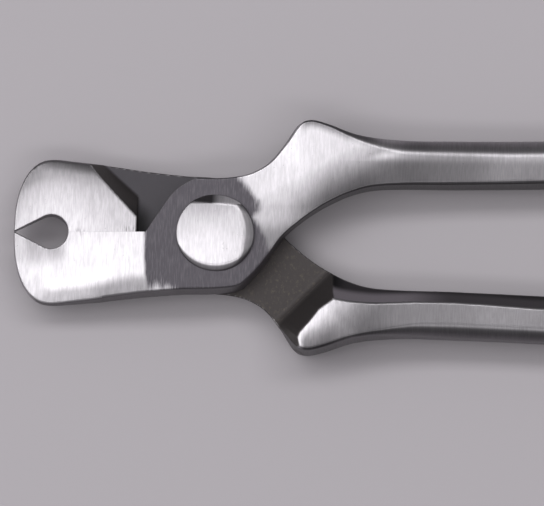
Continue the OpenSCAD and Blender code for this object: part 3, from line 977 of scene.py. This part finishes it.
class Graph:
    """Short calls for the nodes of one material."""

    def __init__(self, name):
        self.mat = bpy.data.materials.new(name)
        self.mat.use_nodes = True
        self.tree = self.mat.node_tree
        self.shader = self.tree.nodes["Principled BSDF"]

    def add(self, kind, **settings):
        node = self.tree.nodes.new(kind)
        for key, value in settings.items():
            setattr(node, key, value)
        return node

    def plug(self, value, socket):
        if isinstance(value, (int, float)):
            socket.default_value = value
        elif isinstance(value, tuple):
            socket.default_value = value if len(value) == len(socket.default_value) else (*value, 1)
        else:
            self.tree.links.new(value, socket)

    def math(self, kind, a, b=0.0, c=0.0):
        node = self.add("ShaderNodeMath", operation=kind)
        for value, socket in zip((a, b, c), node.inputs):
            self.plug(value, socket)
        return node.outputs[0]

    def times(self, a, b):
        return self.math("MULTIPLY", a, b)

    def line(self, a, gain, start):
        return self.math("MULTIPLY_ADD", a, gain, start)

    def mix(self, share, a, b):
        node = self.add("ShaderNodeMix", data_type="RGBA")
        self.plug(share, node.inputs[0])
        self.plug(a, node.inputs[6])
        self.plug(b, node.inputs[7])
        return node.outputs[2]

    def blend(self, share, a, b):
        node = self.add("ShaderNodeMix", data_type="FLOAT")
        self.plug(share, node.inputs[0])
        self.plug(a, node.inputs[2])
        self.plug(b, node.inputs[3])
        return node.outputs[0]

    def band(self, value, low, high):
        node = self.add("ShaderNodeMapRange", interpolation_type="SMOOTHSTEP")
        self.plug(value, node.inputs[0])
        self.plug(low, node.inputs[1])
        self.plug(high, node.inputs[2])
        return node.outputs[0]

    def number(self, name):
        return self.add("ShaderNodeAttribute", attribute_name=name).outputs["Fac"]

    def noise(self, per_mm, detail, rough, shift):
        """Noise in the piece's own place, with its own count per millimetre along each axis."""
        place = self.add("ShaderNodeTexCoord").outputs["Object"]
        spread = self.add("ShaderNodeMapping")
        spread.inputs["Scale"].default_value = tuple(v / MM for v in per_mm)
        spread.inputs["Location"].default_value = (shift, shift * 0.7, shift * 1.3)
        self.plug(place, spread.inputs["Vector"])
        node = self.add("ShaderNodeTexNoise")
        node.inputs["Scale"].default_value = 1.0
        node.inputs["Detail"].default_value = detail
        node.inputs["Roughness"].default_value = rough
        self.plug(spread.outputs[0], node.inputs["Vector"])
        return node.outputs[0]

    def along(self, way):
        """A direction fixed to the piece."""
        spaces = {"convert_from": "OBJECT", "convert_to": "WORLD"}
        node = self.add("ShaderNodeVectorTransform", vector_type="VECTOR", **spaces)
        node.inputs[0].default_value = way
        return node.outputs[0]

    def bump(self, height, depth_mm, strength):
        node = self.add("ShaderNodeBump")
        node.inputs["Strength"].default_value = strength
        node.inputs["Distance"].default_value = depth_mm * MM
        self.plug(height, node.inputs["Height"])
        return node.outputs[0]


# Colours of the steel.
BRIGHT = (0.76, 0.734, 0.77)
BRIGHT_STREAK = (0.55, 0.532, 0.558)
NO_TONE = (0.02, 0.018, 0.02)
# Colour of worn edges and of the painted highlight along the slope's foot.
WORN_AND_HIGHLIGHT = (0.7, 0.68, 0.7)
DARK = (0.070, 0.065, 0.074)
DARK_STREAK = (0.104, 0.097, 0.108)
WALL = (0.15, 0.135, 0.152)
BLACK = (0.0, 0.0, 0.0)
LAP = (0.050, 0.046, 0.053)
LAP_WARM = (0.042, 0.036, 0.036)
LAP_WARM_LIGHT = (0.072, 0.062, 0.051)
LAP_SLOPE = (0.044, 0.039, 0.039)
FULL_TONE = 0.66
# Strength of the painted shadow in the nook behind the jaw.
NOOK_SHADE = 0.65
STREAK, WEAR_AND_HIGHLIGHT = 0.6, 0.3

# How the noises work on them: bands are low and high ends of a smooth step, lines are gain and start.
RAGGED_FINE, RAGGED_BROAD, RAGGED = (5.0, -2.5), (3.0, -1.5), 0.55
BORDER_BAND = (-0.7, 1.5)
BROAD_STREAK, STREAK_BAND, DARK_BAND = 0.2, (0.36, 0.64), (0.42, 0.72)
CLOUD_LINE = (0.3, 0.85)
TICK_BAND, TICK_LINE = (0.46, 0.62), (-0.75, 1.0)
SPECK_BAND, SPECK_LINE = (0.71, 0.78), (-0.35, 1.0)
PIT_BAND = (0.5, 0.75)
EDGE_BAND, EDGE_GRAIN, EDGE_GROUND = (0.25, 0.9), (0.25, 0.6), (0.8, 0.2)

# Noises: count per millimetre along each axis, detail, roughness and shift.
FINE = ((3.0, 0.32, 0.32), 4.0, 0.62, 0)
BROAD = ((0.6, 0.09, 0.09), 3.0, 0.5, 3)
CLOUD = ((0.06, 0.06, 0.06), 2.0, 0.5, 5)
PITS = ((1.4, 1.1, 1.4), 4.0, 0.65, 9)
SPECKS = ((1.7, 1.7, 1.7), 2.0, 0.5, 11)

# Surface of the steel.
ANISOTROPY = 0.7
BRUSHED_ALONG = (1.0, 0.0, 0.0)
FORGED_ROUGH, GROUND_ROUGH, LAP_ROUGH, ROUGH_GRAIN = 0.48, 0.43, 0.6, (0.16, -0.08)
FLANK_METAL, FACE_METAL, LAP_METAL = 0.2, 0.8, 0.5
RELIEF_MM, RELIEF_STRENGTH = 0.018, 0.6
BROAD_RELIEF, PIT_RELIEF = 0.5, 2.0


class SteelNoise:
    """The noises that the steel's colour and surface share."""

    def __init__(self, g, shift):
        self.fine, self.broad, self.cloud, self.pits, self.specks = [
            g.noise(per_mm, detail, rough, shift + more)
            for per_mm, detail, rough, more in (FINE, BROAD, CLOUD, PITS, SPECKS)]


def ground_border(g, n):
    """1 inside the ground finish, with a ragged border."""
    ragged = g.math("ADD", g.line(n.fine, *RAGGED_FINE), g.line(n.broad, *RAGGED_BROAD))
    return g.band(g.math("ADD", g.number("ground"), g.times(ragged, RAGGED)), *BORDER_BAND)


def ground_colour(g, n):
    """Bright brushed metal, brightened and darkened by the painted light and shade in the tone number, with
    random cloudy tone, ticks and specks.
    """
    streak = g.band(g.blend(BROAD_STREAK, n.fine, n.broad), *STREAK_BAND)
    bright = g.mix(g.times(streak, STREAK), BRIGHT, BRIGHT_STREAK)
    # The tone number holds the painted light and shade.
    tone = g.times(g.number("tone"), g.line(n.cloud, *CLOUD_LINE))
    ticks = g.times(g.number("stain"), g.band(n.fine, *TICK_BAND))
    tone = g.times(tone, g.line(ticks, *TICK_LINE))
    tone = g.times(tone, g.line(g.band(n.specks, *SPECK_BAND), *SPECK_LINE))
    return g.mix(g.times(tone, FULL_TONE), NO_TONE, bright)


def lap_colour(g, n):
    """Scale on the lap's floor and slope, with painted shadow that darkens the nook behind the jaw."""
    lap = g.mix(g.band(n.pits, *PIT_BAND), LAP_WARM, LAP_WARM_LIGHT)
    lap = g.mix(g.number("warm"), LAP, lap)
    lap = g.mix(g.number("slope"), lap, LAP_SLOPE)
    # Painted shadow in the nook behind the jaw.
    return g.mix(g.times(g.number("nook"), NOOK_SHADE), lap, BLACK)


def steel_colour(g, n, ground):
    dark = g.mix(g.band(n.fine, *DARK_BAND), DARK, DARK_STREAK)
    base = g.mix(ground, dark, ground_colour(g, n))
    # Flanks take the wall colour, scaled by the wall number with its painted light and shade.
    base = g.mix(g.number("face"), g.mix(g.number("wall"), BLACK, WALL), base)
    base = g.mix(g.number("lap"), base, lap_colour(g, n))
    # Worn bright edges, with the painted highlight along the slope's foot.
    worn_and_highlight = g.times(g.band(g.number("edge"), *EDGE_BAND), g.band(n.fine, *EDGE_GRAIN))
    worn_and_highlight = g.times(worn_and_highlight, g.line(ground, *EDGE_GROUND))
    return g.mix(g.times(worn_and_highlight, WEAR_AND_HIGHLIGHT), base, WORN_AND_HIGHLIGHT)


def steel_roughness(g, n, ground):
    rough = g.blend(ground, FORGED_ROUGH, GROUND_ROUGH)
    rough = g.blend(g.number("lap"), rough, LAP_ROUGH)
    return g.math("ADD", rough, g.line(n.fine, *ROUGH_GRAIN))


def steel_relief(g, n):
    height = g.math("ADD", n.fine, g.times(n.broad, BROAD_RELIEF))
    height = g.blend(g.number("lap"), height, g.times(n.pits, PIT_RELIEF))
    return g.bump(height, RELIEF_MM, RELIEF_STRENGTH)


def forged_steel(name, shift):
    """Forged steel with ground faces; the shift moves its noises."""
    g = Graph(name)
    n = SteelNoise(g, shift)
    ground = ground_border(g, n)
    inputs = g.shader.inputs
    g.plug(steel_colour(g, n, ground), inputs["Base Color"])
    metal = g.line(g.number("face"), FACE_METAL, FLANK_METAL)
    g.plug(g.blend(g.number("lap"), metal, LAP_METAL), inputs["Metallic"])
    inputs["Anisotropic"].default_value = ANISOTROPY
    g.plug(g.along(BRUSHED_ALONG), inputs["Tangent"])
    g.plug(steel_roughness(g, n, ground), inputs["Roughness"])
    g.plug(steel_relief(g, n), inputs["Normal"])
    return g.mat


LEVER_GRID = 0.25
RIVET_GRID = 0.14
FRONT_SHIFT, BACK_SHIFT, RIVET_SHIFT = 0.0, 17.0, 31.0
HALF_TURN = np.array([[1, 0, 0], [0, -1, 0], [0, 0, -1]], float)


def place_piece(name, node, body, slot, shape, shift, turn=None):
    obj = mesh_object(name, *shape, turn)
    obj.data.materials.append(forged_steel(slot, shift))
    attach(obj, body)
    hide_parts(node)


lever = lever_mesh(LEVER_GRID)
rivet = rivet_mesh(RIVET_GRID)
place_piece("front_lever_forging", "front_lever", "front_body", "lever_steel", lever, FRONT_SHIFT)
place_piece(
    "back_lever_forging", "back_lever", "back_body", "back_lever_steel", lever, BACK_SHIFT, HALF_TURN)
place_piece("rivet_ground_head", "pivot_rivet", "front_body", "rivet_steel", rivet, RIVET_SHIFT)

# Floor, lights and camera, in metres.
FLOOR = (0.375, 0.354, 0.375)
FLOOR_REACH = 12
FLOOR_ROUGH, FLOOR_SPECULAR = 0.95, 0.1
WORLD_COLOUR, WORLD_STRENGTH = (0.95, 0.93, 0.96, 1), 0.32
LIGHT_CENTRE = Vector((0.03, 0, 0))

# Each light's lean from the vertical along x and y in degrees, its distance, two sizes and power.
LIGHTS = {
    "key": (-27, 6, 2.2, 1.9, 1.35, 24.5),
    "back_window": (4, 23, 2.4, 2.6, 0.5, 22),
    "front_window": (4, -24, 2.4, 2.6, 0.5, 13),
}

# The pivot axis at the lap plane shows at this pixel, and a millimetre there is this many pixels wide.
IMAGE_W, IMAGE_H = 544, 506
PIVOT_PX = (215.2, 236.2)
PX_PER_MM = 4.0
ROLL = math.radians(1.2)
TILT = math.atan(0.11)
DISTANCE = 3.0
SENSOR = 36
CLIP_END = 10


def add_floor():
    finish = Graph("floor")
    finish.shader.inputs["Base Color"].default_value = (*FLOOR, 1)
    finish.shader.inputs["Roughness"].default_value = FLOOR_ROUGH
    finish.shader.inputs["Specular IOR Level"].default_value = FLOOR_SPECULAR
    mesh = bpy.data.meshes.new("floor")
    r = FLOOR_REACH
    mesh.from_pydata([(-r, -r, 0), (r, -r, 0), (r, r, 0), (-r, r, 0)], [], [(0, 1, 2, 3)])
    floor = bpy.data.objects.new("floor", mesh)
    floor.data.materials.append(finish.mat)
    bpy.context.scene.collection.objects.link(floor)


def set_object(name, data, axes, place):
    """An object with its three axes and its place in the world."""
    obj = bpy.data.objects.new(name, data)
    rows = [(*(axis[i] for axis in axes), place[i]) for i in range(3)]
    obj.matrix_world = Matrix((*rows, (0, 0, 0, 1)))
    bpy.context.scene.collection.objects.link(obj)
    return obj


def add_light(name, lean_x, lean_y, distance, size_x, size_y, power):
    """A soft light over the tool."""
    way = Vector((math.tan(math.radians(lean_x)), math.tan(math.radians(lean_y)), 1)).normalized()
    light = bpy.data.lights.new(name, "AREA")
    light.energy = power
    light.shape = "RECTANGLE"
    light.size, light.size_y = size_x, size_y
    side = Vector((1, 0, 0)).cross(way).normalized()
    set_object(name, light, (-side.cross(way), side, way), way * distance + LIGHT_CENTRE)


def add_world():
    world = bpy.data.worlds.new("world")
    world.use_nodes = True
    background = world.node_tree.nodes["Background"]
    background.inputs["Color"].default_value = WORLD_COLOUR
    background.inputs["Strength"].default_value = WORLD_STRENGTH
    bpy.context.scene.world = world


def add_camera():
    cam = bpy.data.cameras.new("camera")
    cam.sensor_fit = "HORIZONTAL"
    cam.sensor_width = SENSOR
    field_w = IMAGE_W / PX_PER_MM * MM
    cam.lens = SENSOR * DISTANCE / field_w
    cam.clip_end = CLIP_END
    back = Vector((0, -math.sin(TILT), math.cos(TILT)))
    right = Vector((math.cos(ROLL), math.sin(ROLL), 0))
    right = (right - back * right.dot(back)).normalized()
    up = back.cross(right)
    off_x = (IMAGE_W / 2 - PIVOT_PX[0]) / PX_PER_MM * MM
    off_y = (PIVOT_PX[1] - IMAGE_H / 2) / PX_PER_MM * MM
    target = Vector((0, 0, LAP_Z * MM)) + right * off_x + up * off_y
    bpy.context.scene.camera = set_object("camera", cam, (right, up, back), target + back * DISTANCE)


add_floor()
for light_name, settings in LIGHTS.items():
    add_light(light_name, *settings)
add_world()
add_camera()
bpy.context.scene.view_settings.view_transform = "Standard"
